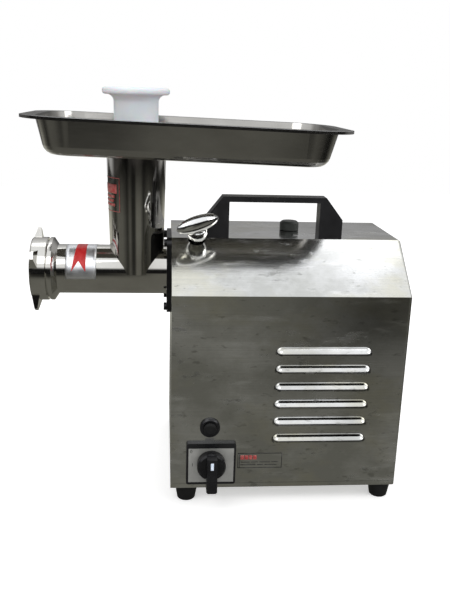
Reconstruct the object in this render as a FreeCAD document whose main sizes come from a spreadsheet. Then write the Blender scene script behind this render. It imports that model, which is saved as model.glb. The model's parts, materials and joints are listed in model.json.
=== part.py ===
import FreeCAD, Part
import math
import os
import re

import Sketcher

# An electric meat grinder: a sheet steel housing with a motor and a two-stage gearbox in it, and a
# stainless head with its feed tray on the left. Millimetres. The pieces are laid out in the housing's
# own frame: x from its left face, y from its front face, z from its bottom. The whole is then shifted
# so that the origin lies under the middle of the object, on the surface that the feet stand on.

DIMENSIONS = {
    # housing
    "housing_length": 302, "front_height": 263, "slope_run": 69, "slope_rise": 59, "top_run": 130,
    "housing_sheet": 1.5, "corner_radius": 4, "base_rim": 6, "base_sheet": 2, "base_lip": 16,
    "panel_sheet": 2, "side_opening": 20, "panel_edge": 9.2, "screw_head": 1.8, "piece_gap": 0.3,
    # feet
    "foot_height": 24, "foot_top": 15.5, "foot_bottom": 12, "foot_left": 21.5, "foot_right": 286.5,
    "foot_inset": 20,
    # louvres
    "louvre_left": 131, "louvre_right": 256, "louvre_first": 67.5, "louvre_pitch": 24.05,
    "louvre_radius": 9.2, "louvre_count": 6,
    # carrying handle
    "handle_middle": 132.5, "handle_half": 89.5, "handle_shoulder": 25.5, "handle_bar_half": 67,
    "handle_height": 54, "handle_gap_half": 59, "handle_gap_height": 47, "handle_depth": 22,
    "handle_screw": 3, "handle_screw_length": 18,
    # the axis of the head and of the output shaft
    "axis_back": 133.8, "axis_height": 264,
    # head
    "barrel_radius": 33.5, "barrel_bore": 30.6, "barrel_back": 6.3, "barrel_wall": 12,
    "tail_radius": 26, "tail_length": 62, "journal_radius": 11, "mouth_flange": 43,
    "mouth_cone_start": 153, "mouth_flange_start": 159.2, "mouth_flange_end": 163.2,
    "thread_radius": 39, "mouth_face": 176, "plate_seat": 171.9, "plate_radius": 35,
    "plate_thick": 8, "plate_pin": 5, "plate_hole": 3.2,
    "neck_middle": 47, "neck_low": 36, "neck_high": 39.4, "neck_top": 420, "neck_wall": 1.8,
    "throat_radius": 30, "throat_rise": 12,
    # ring nut
    "ring_reach": 187.5, "ring_back": 166, "ring_radius": 43.2, "ring_lip": 31, "ring_flare": 36,
    "lug_reach": 58, "lug_middle": 181.5, "lug_base": 11, "lug_tip": 4, "lug_width": 26, "lug_crest": 10,
    "lug_count": 4, "lug_turn": -30,
    # worm and knife
    "worm_radius": 30.2, "worm_core": 12, "worm_pitch": 30, "flight_thick": 5, "worm_start": 18,
    "drive_square": 16, "knife_radius": 30, "knife_thick": 7.5, "knife_square": 11,
    # tray and pusher
    "tray_middle": 20.2, "tray_length": 417.6, "tray_width": 231.4, "tray_rim": 18, "tray_depth": 47,
    "tray_inset": 12, "tray_corner": 64, "tray_sheet": 1.2, "tray_tilt": 1.5, "tray_collar": 33,
    "tray_collar_drop": 12, "tray_floor_corner": 11, "tray_rim_thick": 3.6,
    "tray_lift": 1.5,
    "stem_radius": 29.2, "stem_low_radius": 28.4, "stem_bottom": 298, "pusher_radius": 44,
    "pusher_top": 506.5, "pusher_rim": 9, "pusher_cove": 9,
    "pusher_round": 4,
    # head socket and lock screw
    "socket_plate": 6, "socket_plate_wide": 84, "socket_plate_high": 104, "socket_radius": 34,
    "socket_bore": 26.1, "socket_length": 72, "socket_bolt_back": 32, "socket_bolt_up": 44,
    "lock_along": 32, "lock_screw": 4.5, "lock_boss": 11, "lock_boss_end": 68, "lock_hole": 12,
    "lock_reach": 87.2, "shoe_length": 6.5, "wing_distance": 34, "wing_half": 25.5, "wing_turn": 21,
    # gearbox
    "case_start": 108, "case_wall": 5, "case_length": 64, "case_radius": 54, "case_low": 176,
    "case_nose": 74, "case_nose_radius": 36, "cover_thick": 6, "motor_flange": 70,
    "first_module": 1.5, "second_module": 2, "wheel_teeth": 44, "small_teeth": 16,
    "middle_wheel_teeth": 56, "gear_backlash": 0.12,
    "filler_along": 163, "filler_radius": 8.8, "filler_bore": 6, "cap_radius": 13, "cap_height": 12.5,
    # motor
    "motor_start": 178, "motor_length": 106, "motor_radius": 62, "motor_wall": 3.5,
    "core_start": 205, "core_length": 50, "rotor_radius": 32.4, "air_gap": 0.6, "shaft_radius": 8.5,
    # bearings
    "large_outer": 31, "large_inner": 17.5, "large_width": 14, "small_outer": 17.5,
    "small_inner": 8.5, "small_width": 10,
    # switch and circuit breaker
    "switch_middle": 52.6, "switch_height": 37, "bezel_wide": 64.5, "bezel_high": 58.5,
    "bezel_thick": 5, "face_wide": 59, "face_high": 48, "face_thick": 0.8, "knob_radius": 18.6,
    "knob_thick": 13, "lever_reach": 30, "lever_wide": 14, "knob_reach": 31, "knob_up": 1.3,
    "breaker_middle": 50.4, "breaker_height": 87.2, "breaker_collar": 13, "button_radius": 8.4,
    # cable gland, capacitor, terminals
    "gland_along": 245, "gland_height": 42, "gland_reach": 24, "gland_radius": 11, "cord_bore": 4,
    "capacitor_radius": 20, "capacitor_length": 78,
}

HOUSING_DEPTH = "(2 * slope_run + top_run)"
HOUSING_TOP = "(front_height + slope_rise)"
MIDDLE_X = "(housing_length + screw_head - ring_reach) / 2"
MIDDLE_Y = "(" + HOUSING_DEPTH + " + gland_reach - knob_reach) / 2"
MIDDLE_SHAFT = "(axis_height - second_module * (wheel_teeth + small_teeth) / 2)"
MOTOR_SHAFT = "(" + MIDDLE_SHAFT + " - first_module * (middle_wheel_teeth + small_teeth) / 2)"

TOUCH = 0.01  # two measures closer than this are the same

ALONG_X = ((0, 1, 0), 90)
TOWARDS_LEFT = ((0, 1, 0), -90)
ALONG_Y = ((1, 0, 0), -90)
TOWARDS_FRONT = ((1, 0, 0), 90)

doc = FreeCAD.newDocument("meat_grinder")
dims = doc.addObject("Spreadsheet::Sheet", "dims")
for line, (alias, number) in enumerate(DIMENSIONS.items(), start=1):
    dims.set("A%d" % line, alias)
    dims.set("B%d" % line, str(number))
    dims.setAlias("B%d" % line, alias)
doc.recompute()

places = {}
nodes = []


# ---- helpers -------------------------------------------------------------------------------------

def linked(text):
    """A formula of dimension names, as an expression that points at the sheet."""
    return re.sub(r"[a-z]\w*", lambda word: ("dims." if word.group(0) in DIMENSIONS
                                             else "") + word.group(0), text)


def value(text):
    """The number that a formula of dimension names stands for now."""
    return float(dims.evalExpression(text))


def bind(thing, **formulas):
    for name, text in formulas.items():
        thing.setExpression(name, linked(text))
    return thing


def place(thing, x="0", y="0", z="0", turn=None):
    """Stands a piece at formulas of the sheet, turned about one axis."""
    rotation = FreeCAD.Rotation(FreeCAD.Vector(*turn[0]), turn[1]) if turn else FreeCAD.Rotation()
    thing.Placement = FreeCAD.Placement(FreeCAD.Vector(value(x), value(y), value(z)), rotation)
    for letter, text in zip("xyz", (x, y, z)):
        thing.setExpression("Placement.Base." + letter, linked(text))
    places[thing.Name] = (x, y, z)
    return thing


def node(thing, label):
    """Makes a finished piece one node of the object, and shifts it from the housing's frame to the row's."""
    x, y, z = places.get(thing.Name, ("0", "0", "0"))
    thing.Label = label
    thing.setExpression("Placement.Base.x", linked("%s - %s" % (x, MIDDLE_X)))
    thing.setExpression("Placement.Base.y", linked("%s - %s" % (y, MIDDLE_Y)))
    thing.setExpression("Placement.Base.z", linked("%s + foot_height" % z))
    nodes.append(thing)
    return thing


def block(name, length, width, height, x="0", y="0", z="0"):
    return place(bind(doc.addObject("Part::Box", name), Length=length, Width=width, Height=height), x, y, z)


def cylinder(name, radius, height, x="0", y="0", z="0", turn=None):
    return place(bind(doc.addObject("Part::Cylinder", name), Radius=radius, Height=height), x, y, z, turn)


def cone(name, low, high, height, x="0", y="0", z="0", turn=None):
    piece = bind(doc.addObject("Part::Cone", name), Radius1=low, Radius2=high, Height=height)
    return place(piece, x, y, z, turn)


def ball(name, radius, x, y, z):
    return place(bind(doc.addObject("Part::Sphere", name), Radius=radius), x, y, z)


def fuse(name, *pieces):
    whole = doc.addObject("Part::MultiFuse", name)
    whole.Shapes = list(pieces)
    return whole


def cut(name, base, *tools):
    rest = doc.addObject("Part::Cut", name)
    rest.Base = base
    rest.Tool = tools[0] if len(tools) == 1 else fuse(name + "_tools", *tools)
    return rest


def common(name, first, second):
    shared = doc.addObject("Part::Common", name)
    shared.Base = first
    shared.Tool = second
    return shared


def group(name, pieces):
    """Separate solids that share one node, such as a set of screws."""
    together = doc.addObject("Part::Compound", name)
    together.Links = list(pieces)
    return together


def ring(name, outer, inner, height, x="0", y="0", z="0", turn=None):
    return cut(name, cylinder(name + "_outside", outer, height, x, y, z, turn),
               cylinder(name + "_inside", inner, height, x, y, z, turn))


def outline(body, name, role, corners, offset="0"):
    """A closed sketch whose corners are held by formulas, measured from the body's origin."""
    sketch = body.newObject("Sketcher::SketchObject", name)
    plane = next(item for item in body.Origin.OriginFeatures if item.Role == role)
    sketch.AttachmentSupport = (plane, [""])
    sketch.MapMode = "FlatFace"
    sketch.setExpression("AttachmentOffset.Base.z", linked(offset))
    points = [FreeCAD.Vector(value(u), value(v), 0) for u, v in corners]
    count = len(points)
    for index in range(count):
        sketch.addGeometry(Part.LineSegment(points[index], points[(index + 1) % count]))
    for index, (u, v) in enumerate(corners):
        sketch.addConstraint(Sketcher.Constraint("Coincident", index, 2, (index + 1) % count, 1))
        for kind, text, number in (("DistanceX", u, points[index].x), ("DistanceY", v, points[index].y)):
            held = sketch.addConstraint(Sketcher.Constraint(kind, -1, 1, index, 1, number))
            sketch.setExpression("Constraints[%d]" % held, linked(text))
    return sketch


def prism(name, role, corners, length, offset="0", backwards=False):
    """A body padded from one outline."""
    body = doc.addObject("PartDesign::Body", name)
    pad = body.newObject("PartDesign::Pad", name + "_pad")
    pad.Profile = outline(body, name + "_outline", role, corners, offset)
    pad.Reversed = backwards
    bind(pad, Length=length)
    doc.recompute()
    return body


def turned(name, profile, x="0", y="0", z="0", turn=None):
    """A turned piece: a half outline of radius and height, spun about its own axis."""
    body = doc.addObject("PartDesign::Body", name)
    sketch = outline(body, name + "_outline", "XZ_Plane", profile)
    spin = body.newObject("PartDesign::Revolution", name + "_spin")
    spin.Profile = sketch
    spin.ReferenceAxis = (sketch, ["V_Axis"])
    spin.Angle = 360
    return place(body, x, y, z, turn)


def rounded(body, name, radius, chosen):
    """Rounds the edges of a body that a test picks out."""
    doc.recompute()
    base = body.Tip
    edges = ["Edge%d" % (index + 1) for index, edge in enumerate(base.Shape.Edges) if chosen(edge)]
    fillet = body.newObject("PartDesign::Fillet", name)
    fillet.Base = (base, edges)
    bind(fillet, Radius=radius)
    doc.recompute()
    return body


def ends(edge):
    return [vertex.Point for vertex in edge.Vertexes]


def runs_along(letter):
    """A test that picks the edges whose two ends lie apart along one axis."""
    def test(edge):
        first, last = ends(edge)[0], ends(edge)[-1]
        return abs(getattr(first, letter) - getattr(last, letter)) > 1

    return test


def housing_profile(inset, bottom):
    """The outline of the housing seen from its end, moved inwards by a sheet's thickness."""
    lean = "sqrt(slope_rise ^ 2 + slope_run ^ 2) / slope_run"
    low = "front_height + (%s) * slope_rise / slope_run - (%s) * %s" % (inset, inset, lean)
    high = "%s - (%s)" % (HOUSING_TOP, inset)
    near = "(slope_rise - (%s) + (%s) * %s) * slope_run / slope_rise" % (inset, inset, lean)
    far = "%s - (%s)" % (HOUSING_DEPTH, near)
    back = "%s - (%s)" % (HOUSING_DEPTH, inset)
    return [(inset, bottom), (inset, low), (near, high), (far, high), (back, low), (back, bottom)]


def across(angle, distance):
    """The y and z of a point at a distance from the head's axis, the angle counted from straight up."""
    y = "axis_back + (%s) * %.9f" % (distance, math.sin(math.radians(angle)))
    z = "axis_height + (%s) * %.9f" % (distance, math.cos(math.radians(angle)))
    return y, z


def screws(name, seats, head_radius, head_height, shank_radius, shank_length, turn):
    """A set of screws: seats hold where each head's underside lies; turn points from shank to head."""
    pieces = []
    for index, (x, y, z) in enumerate(seats):
        part_name = "%s_%d" % (name, index)
        profile = [("0", "-" + shank_length), (shank_radius, "-" + shank_length), (shank_radius, "0"),
                   (head_radius, "0"), (head_radius, head_height), ("0", head_height)]
        pieces.append(turned(part_name, profile, x, y, z, turn))
    return group(name, pieces)


# ---- housing -------------------------------------------------------------------------------------

FEET = [(x, y) for x in ("foot_left", "foot_right")
        for y in ("foot_inset", HOUSING_DEPTH + " - foot_inset")]
HANDLE_SCREWS = ["handle_middle %s (handle_half + handle_gap_half) / 2" % sign for sign in "-+"]
SOCKET_BOLTS = [("axis_back %s socket_bolt_back" % back, "axis_height %s socket_bolt_up" % up)
                for back in "-+" for up in "-+"]
SIDE_SCREWS = [("side_opening - 5.5", "40"), ("side_opening - 5.5", "front_height - 40"),
               (HOUSING_DEPTH + " - side_opening + 5.5", "40"),
               (HOUSING_DEPTH + " - side_opening + 5.5", "front_height - 40")]


def capsule(name, radius, height):
    """A round bar with ball ends, lying along a louvre."""
    left = "louvre_left + louvre_radius"
    right = "louvre_right - louvre_radius"
    return fuse(name, cylinder(name + "_bar", radius, "%s - (%s)" % (right, left), left, "0", height,
                               ALONG_X),
                ball(name + "_left", radius, left, "0", height),
                ball(name + "_right", radius, right, "0", height))


def lock_tool(name, radius, start, length):
    """A cylinder along the lock screw, from a distance from the head's axis outwards."""
    lean = LOCK_LEAN
    y, z = across(-lean, start)
    return cylinder(name, radius, length, "lock_along", y, z, ((1, 0, 0), lean))


LOCK_LEAN = math.degrees(math.atan2(value("axis_back - slope_run"), value(HOUSING_TOP + " - axis_height")))


def make_housing():
    outside = prism("wrap_outside", "YZ_Plane", housing_profile("0", "base_rim + piece_gap"),
                    "housing_length")
    length = value("housing_length")
    low = value("base_rim + piece_gap")

    def at_right(edge):
        return all(abs(p.x - length) < TOUCH for p in ends(edge)) and max(p.z for p in ends(edge)) > low + 1

    rounded(outside, "wrap_corner", "corner_radius", at_right)
    inside = prism("wrap_inside", "YZ_Plane", housing_profile("housing_sheet", "0"),
                   "housing_length - housing_sheet")
    inner_length = value("housing_length - housing_sheet")

    def at_inner(edge):
        return all(abs(p.x - inner_length) < TOUCH for p in ends(edge)) and max(p.z for p in ends(edge)) > 1

    rounded(inside, "wrap_inner_corner", "corner_radius - housing_sheet", at_inner)
    side = prism("wrap_side_opening", "YZ_Plane",
                 housing_profile("side_opening", "base_rim + base_lip + 8"),
                 "housing_length / 2", "housing_length - 20")
    hoods = []
    vents = []
    for index in range(int(value("louvre_count"))):
        height = "louvre_first + %d * louvre_pitch" % index
        keep = block("hood_keep_%d" % index, "housing_length", "louvre_radius + 1", "louvre_radius + 1",
                     "0", "-louvre_radius", height)
        hoods.append(common("hood_%d" % index, capsule("hood_skin_%d" % index, "louvre_radius", height),
                            keep))
        vent_keep = block("vent_keep_%d" % index, "housing_length", "2 * louvre_radius",
                          "louvre_radius + 1.5", "0", "-louvre_radius", height + " - 1.5")
        vents.append(common("vent_%d" % index,
                            capsule("vent_hole_%d" % index, "louvre_radius - 1.2", height), vent_keep))
    half_hole = common("lock_half_hole", lock_tool("lock_hole_round", "lock_hole", "lock_boss_end", "40"),
                       block("lock_hole_keep", "60", "60", "60", "lock_along - 30", "slope_run - 60",
                             HOUSING_TOP + " - 40"))
    holes = [
        half_hole,
        lock_tool("lock_hole_small", "lock_screw + 1.5", "lock_boss_end", "40"),
        block("switch_hole", "47", "10", "47", "switch_middle - 23.5", "-5", "switch_height - 23.5"),
        cylinder("breaker_hole", "8.7", "10", "breaker_middle", "-5", "breaker_height", ALONG_Y),
        cylinder("filler_hole", "filler_radius + 0.2", "10", "filler_along", "axis_back",
                 HOUSING_TOP + " - 5"),
        cylinder("gland_hole", "8.1", "10", "gland_along", HOUSING_DEPTH + " - 5", "gland_height", ALONG_Y),
    ]
    for index, x in enumerate(HANDLE_SCREWS):
        holes.append(cylinder("handle_hole_%d" % index, "handle_screw + 0.1", "10", x,
                              "slope_run + handle_depth / 2", HOUSING_TOP + " - 5"))
    for index, (y, z) in enumerate(SIDE_SCREWS):
        holes.append(cylinder("side_hole_%d" % index, "2.1", "10", "housing_length - 5", y, z, ALONG_X))
    skin = cut("wrap_skin", outside, inside, side)
    node(cut("wrap", fuse("wrap_hooded", skin, *hoods), *(vents + holes)), "housing_wrap")


def make_base():
    corners = [("0", "0"), ("housing_length", "0"), ("housing_length", HOUSING_DEPTH), ("0", HOUSING_DEPTH)]
    pan = prism("base_pan", "XY_Plane", corners, "base_rim")
    length = value("housing_length")

    def at_right(edge):
        return all(abs(p.x - length) < TOUCH for p in ends(edge)) and runs_along("z")(edge)

    rounded(pan, "base_pan_corners", "corner_radius", at_right)
    well = block("base_well", "housing_length - 6.4", HOUSING_DEPTH + " - 6.4", "base_rim", "3.2", "3.2",
                 "base_sheet")
    lip = block("base_lip_outside", "housing_length - 24", HOUSING_DEPTH + " - 3.6", "base_rim + base_lip",
                "4", "1.8")
    lip_well = block("base_lip_inside", "housing_length", HOUSING_DEPTH + " - 6.6",
                     "base_rim + base_lip + 2", "-1", "3.3",
                     "base_sheet")
    holes = [cylinder("foot_hole_%d" % index, "2.6", "10", x, y, "-2") for index, (x, y) in enumerate(FEET)]
    whole = fuse("base_whole", cut("base_tray", pan, well), cut("base_upstand", lip, lip_well))
    holes.append(block("base_switch_notch", "50", "10", "base_rim + base_lip", "switch_middle - 25", "1",
                       "base_rim + 2"))
    node(cut("base", whole, *holes), "base_plate")


def make_feet():
    feet = []
    for index, (x, y) in enumerate(FEET):
        feet.append(turned("foot_%d" % index, foot_profile(), x, y))
    node(group("feet", feet), "rubber_feet")
    seats = [(x, y, "-foot_height + 8") for x, y in FEET]
    node(screws("foot_screw", seats, "4.8", "3", "2.5", "(foot_height - 4)", ((1, 0, 0), 180)),
         "foot_screws")


def foot_profile():
    """A tapered rubber foot with a through hole that is wider below, for its screw's head."""
    return [("5.2", "-foot_height"), ("foot_bottom - 1", "-foot_height"),
            ("foot_bottom", "-foot_height + 1"),
            ("foot_top", "-3"), ("foot_top", "0"), ("2.6", "0"), ("2.6", "-foot_height + 8"),
            ("5.2", "-foot_height + 8")]


def make_panels():
    left = prism("left_sheet", "YZ_Plane", housing_profile("housing_sheet + 0.1",
                                                           "base_rim + base_lip + 1"), "panel_sheet")
    holes = [cylinder("left_socket_hole", "socket_radius + 0.2", "10", "-2", "axis_back", "axis_height",
                      ALONG_X)]
    for index, (y, z) in enumerate(SOCKET_BOLTS):
        holes.append(cylinder("left_bolt_hole_%d" % index, "3.1", "10", "-2", y, z, ALONG_X))
    node(cut("left_panel", left, *holes), "end_panel_left")
    right = prism("right_sheet", "YZ_Plane", housing_profile("panel_edge", "base_rim + base_lip + 1"),
                  "panel_sheet",
                  "housing_length - housing_sheet - panel_sheet - 0.1")
    holes = [cylinder("right_hole_%d" % index, "1.9", "20", "housing_length - 10", y, z, ALONG_X)
             for index, (y, z) in enumerate(SIDE_SCREWS)]
    node(cut("right_panel", right, *holes), "end_panel_right")
    seats = [("housing_length", y, z) for y, z in SIDE_SCREWS]
    node(screws("side_screw", seats, "3.6", "screw_head", "1.8", "7", ALONG_X), "panel_screws")


def make_handle():
    corners = [("-handle_half", "0"), ("-handle_half", "handle_shoulder"),
               ("-handle_bar_half", "handle_height"),
               ("handle_bar_half", "handle_height"), ("handle_half", "handle_shoulder"),
               ("handle_half", "0"),
               ("handle_gap_half", "0"), ("handle_gap_half", "handle_gap_height"),
               ("-handle_gap_half", "handle_gap_height"), ("-handle_gap_half", "0")]
    bar = prism("handle_bar", "XZ_Plane", corners, "handle_depth")
    place(bar, "handle_middle", "slope_run + handle_depth", HOUSING_TOP)
    holes = [cylinder("handle_bore_%d" % index, "handle_screw", "handle_screw_length", x,
                      "slope_run + handle_depth / 2", HOUSING_TOP + " - 1")
             for index, x in enumerate(HANDLE_SCREWS)]
    node(cut("handle", bar, *holes), "carry_handle")
    seats = [(x, "slope_run + handle_depth / 2", HOUSING_TOP + " - housing_sheet") for x in HANDLE_SCREWS]
    node(screws("handle_fixing", seats, "5.5", "3.5", "handle_screw", "handle_screw_length",
                ((1, 0, 0), 180)),
         "handle_screws")


# ---- head ----------------------------------------------------------------------------------------

def make_head():
    profile = [("journal_radius + 0.06", "-tail_length"), ("tail_radius", "-tail_length"),
               ("tail_radius", "barrel_back"), ("barrel_radius", "barrel_back"),
               ("barrel_radius", "mouth_cone_start"), ("mouth_flange", "mouth_flange_start"),
               ("mouth_flange", "mouth_flange_end"), ("thread_radius", "mouth_flange_end"),
               ("thread_radius", "mouth_face"), ("plate_radius + 0.2", "mouth_face"),
               ("plate_radius + 0.2", "plate_seat"), ("barrel_bore", "plate_seat"),
               ("barrel_bore", "barrel_wall"), ("journal_radius + 0.06", "barrel_wall")]
    barrel = turned("barrel_turned", profile, "0", "axis_back", "axis_height", TOWARDS_LEFT)
    throat = cylinder("barrel_throat", "throat_radius", "60", "-neck_middle", "axis_back", "axis_height")
    node(cut("barrel", barrel, throat), "head_barrel")
    height = "neck_top - axis_height"
    outside = cone("neck_outside", "neck_low", "neck_high", height, "-neck_middle", "axis_back",
                   "axis_height")
    inside = cone("neck_inside", "throat_radius", "neck_high - neck_wall", height + " - throat_rise",
                  "-neck_middle",
                  "axis_back", "axis_height + throat_rise")
    lower = cylinder("neck_lower", "throat_radius", "throat_rise + 1", "-neck_middle", "axis_back",
                     "axis_height")
    saddle = cylinder("neck_saddle", "barrel_radius", "mouth_cone_start - barrel_back", "-barrel_back",
                      "axis_back",
                      "axis_height", TOWARDS_LEFT)
    node(cut("neck", outside, inside, lower, saddle), "feed_neck")


def make_ring_nut():
    profile = [("thread_radius + 0.1", "ring_back"), ("ring_radius - 1", "ring_back"),
               ("ring_radius", "ring_back + 1"),
               ("ring_radius", "ring_reach - 2"), ("ring_radius - 1.5", "ring_reach"),
               ("ring_flare", "ring_reach"),
               ("ring_lip", "ring_reach - 5"), ("ring_lip", "plate_seat + plate_thick + piece_gap"),
               ("thread_radius + 0.1", "plate_seat + plate_thick + piece_gap")]
    collar = turned("ring_collar", profile, "0", "axis_back", "axis_height", TOWARDS_LEFT)
    root = "ring_radius - 3"
    along = [("-lug_base / 2", root), ("lug_base / 2", root), ("lug_tip / 2", "lug_reach"),
             ("-lug_tip / 2", "lug_reach")]
    around = [("-lug_width / 2", root), ("lug_width / 2", root), ("lug_crest / 2", "lug_reach"),
              ("-lug_crest / 2", "lug_reach")]
    lugs = []
    count = int(value("lug_count"))
    for index in range(count):
        turn = ((1, 0, 0), value("lug_turn") + 360 * index / count)
        wedge = prism("lug_wedge_%d" % index, "XZ_Plane", along, "lug_width")
        wedge.Tip.Midplane = True
        fin = prism("lug_fin_%d" % index, "YZ_Plane", around, "lug_base")
        fin.Tip.Midplane = True
        for piece in (wedge, fin):
            place(piece, "-lug_middle", "axis_back", "axis_height", turn)
        lugs.append(common("lug_%d" % index, wedge, fin))
    node(fuse("ring_whole", collar, *lugs), "ring_nut")


def make_plate():
    disc = cylinder("plate_disc", "plate_radius", "plate_thick", "-plate_seat", "axis_back", "axis_height",
                    TOWARDS_LEFT)
    holes = [cylinder("plate_pin_hole", "plate_pin + 0.05", "plate_thick", "-plate_seat", "axis_back",
                      "axis_height",
                      TOWARDS_LEFT)]
    for circle, (count, radius) in enumerate(((6, 12), (12, 20), (18, 28))):
        for index in range(count):
            y, z = across(360 * index / count, str(radius))
            holes.append(cylinder("plate_hole_%d_%d" % (circle, index), "plate_hole", "plate_thick",
                                  "-plate_seat", y, z,
                                  TOWARDS_LEFT))
    node(cut("plate", disc, *holes), "hole_plate")


def make_worm():
    front = "plate_seat + plate_thick - 0.4"
    body = turned("worm_turned", [("0", "-tail_length - 2"), ("journal_radius", "-tail_length - 2"),
                           ("journal_radius", "barrel_wall + 2.3"), ("20", "barrel_wall + 2.3"),
                           ("20", "barrel_wall + 5"), ("worm_core", "worm_start + 6"),
                           ("worm_core + 4", "plate_seat - knife_thick - 0.6"),
                                  ("plate_pin", "plate_seat - knife_thick - 0.6"),
                           ("plate_pin", front), ("0", front)])
    sketch = outline(body, "flight_outline", "XZ_Plane",
                     [("worm_core - 3", "worm_start"), ("worm_radius", "worm_start + 1"),
                      ("worm_radius", "worm_start + flight_thick - 1"),
                      ("worm_core - 3", "worm_start + flight_thick")])
    flight = body.newObject("PartDesign::AdditiveHelix", "flight")
    flight.Profile = sketch
    flight.ReferenceAxis = (sketch, ["V_Axis"])
    flight.Mode = 0
    bind(flight, Pitch="worm_pitch", Height="plate_seat - knife_thick - worm_start - flight_thick - 3")
    doc.recompute()
    place(body, "0", "axis_back", "axis_height", TOWARDS_LEFT)
    square = block("worm_square", "22", "drive_square", "drive_square", "tail_length + 1",
                   "axis_back - drive_square / 2", "axis_height - drive_square / 2")
    knife_seat = block("worm_knife_seat", "knife_thick + 0.5", "knife_square", "knife_square",
                       "-plate_seat + 0.2",
                       "axis_back - knife_square / 2", "axis_height - knife_square / 2")
    node(fuse("worm_whole", body, square, knife_seat), "worm")
    washer = ring("washer", "24", "journal_radius + 0.06", "2", "-barrel_wall - 0.1", "axis_back",
                  "axis_height", TOWARDS_LEFT)
    node(washer, "thrust_washer")


def make_knife():
    thick = "knife_thick"
    start = "-plate_seat + piece_gap"
    hub = cylinder("knife_hub", "13", thick, start, "axis_back", "axis_height", ALONG_X)
    arms = []
    for index in range(4):
        corners = [("8", "-1"), ("knife_radius", "-5"), ("knife_radius - 0.8", "5.5"), ("8", "7")]
        arm = prism("knife_arm_%d" % index, "XY_Plane", corners, thick)
        place(arm, start, "axis_back", "axis_height", ALONG_X)
        arm.Placement.Rotation = FreeCAD.Rotation(FreeCAD.Vector(1, 0, 0),
                                                  90 * index + 45).multiply(arm.Placement.Rotation)
        arms.append(arm)
    bore = block("knife_bore", "knife_thick + 4", "knife_square", "knife_square", "-plate_seat - 2",
                 "axis_back - knife_square / 2", "axis_height - knife_square / 2")
    node(cut("knife", fuse("knife_blades", hub, *arms), bore), "cross_knife")


# ---- tray and pusher -----------------------------------------------------------------------------

FLOOR_STEPS = 4

def rounded_rectangle(length, width, corner, height):
    """A closed wire at a height, centred on the z axis."""
    x, y = length / 2, width / 2
    slack = corner * (1 - math.sqrt(0.5))
    edges = []
    for index, (sx, sy) in enumerate(((1, -1), (1, 1), (-1, 1), (-1, -1))):
        before = FreeCAD.Vector(sx * (x - corner), sy * y, height)
        after = FreeCAD.Vector(sx * x, sy * (y - corner), height)
        if index % 2:
            before, after = after, before
        middle = FreeCAD.Vector(sx * (x - slack), sy * (y - slack), height)
        edges.append((before, middle, after))
    wire = []
    for index, (before, middle, after) in enumerate(edges):
        wire.append(Part.Arc(before, middle, after).toShape())
        wire.append(Part.LineSegment(after, edges[(index + 1) % 4][0]).toShape())
    return Part.Wire(wire)


def tapered(name, length, width, depth, corner, floor_corner, lift):
    """A pan shape: its walls lean outwards, and its floor meets them in a round edge."""
    measures = (length, width, depth, corner, floor_corner, lift)
    length, width, depth, corner, floor_corner, lift = map(value, measures)
    lean = value("tray_inset / tray_depth")
    sections = []
    for step in range(FLOOR_STEPS + 1):
        angle = math.pi / 2 * step / FLOOR_STEPS
        height = lift + floor_corner * (1 - math.cos(angle))
        shrink = lean * (depth - height) + floor_corner * (1 - math.sin(angle))
        sections.append(rounded_rectangle(length - 2 * shrink, width - 2 * shrink, corner - shrink, height))
    sections.append(rounded_rectangle(length, width, corner, depth))
    piece = doc.addObject("Part::Feature", name)
    piece.Shape = Part.makeLoft(sections, True, True)
    return piece


def rectangle(length, width):
    return [("%s(%s) / 2" % (a, length), "%s(%s) / 2" % (b, width))
            for a, b in (("-", "-"), ("", "-"), ("", ""), ("-", ""))]


def make_tray():
    length = "(tray_length - 2 * tray_rim)"
    width = "(tray_width - 2 * tray_rim)"
    outside = tapered("pan_outside", length, width, "tray_depth", "tray_corner - tray_rim",
                      "tray_floor_corner", "0")
    inside = tapered("pan_inside", length + " - 2 * tray_sheet", width + " - 2 * tray_sheet",
                     "tray_depth + 0.01",
                     "tray_corner - tray_rim - tray_sheet", "tray_floor_corner - tray_sheet", "tray_sheet")
    rim = prism("pan_rim", "XY_Plane", rectangle("tray_length", "tray_width"), "tray_rim_thick",
                "tray_depth - tray_rim_thick")
    rounded(rim, "pan_rim_corners", "tray_corner", runs_along("z"))
    collar = cylinder("pan_collar", "tray_collar", "tray_collar_drop + 1", "-neck_middle - tray_middle",
                      "0", "-tray_collar_drop")
    hole = cylinder("pan_hole", "tray_collar - tray_sheet", "tray_collar_drop + 20",
                    "-neck_middle - tray_middle", "0",
                    "-tray_collar_drop - 1")
    pan = cut("pan_hollow", fuse("pan_solid", outside, rim, collar), inside, hole)
    tilt = ((0, 1, 0), value("tray_tilt"))
    place(pan, "tray_middle", "axis_back", "neck_top + tray_lift - (neck_middle + tray_middle) * %.9f"
          % math.tan(math.radians(value("tray_tilt"))), tilt)
    node(pan, "tray")


def make_pusher():
    profile = [("0", "stem_bottom"), ("stem_low_radius - 3", "stem_bottom"),
               ("stem_low_radius", "stem_bottom + 3"),
               ("stem_radius", "pusher_top - pusher_rim"), ("pusher_radius", "pusher_top - pusher_rim"),
               ("pusher_radius", "pusher_top"), ("0", "pusher_top")]
    body = turned("pusher_turned", profile, "-neck_middle", "axis_back", "0")
    top = value("pusher_top")
    under = value("pusher_top - pusher_rim")
    stem = value("stem_radius")

    def reach(edge):
        return max(math.hypot(point.x, point.y) for point in ends(edge))

    def at_cove(edge):
        return abs(ends(edge)[0].z - under) < TOUCH and reach(edge) < stem + TOUCH

    def at_rim(edge):
        return min(abs(ends(edge)[0].z - under), abs(ends(edge)[0].z
                                                     - top)) < TOUCH and reach(edge) > stem + 1

    rounded(body, "pusher_cove_round", "pusher_cove", at_cove)
    rounded(body, "pusher_rim_round", "pusher_round", at_rim)
    node(body, "pusher")


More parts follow.
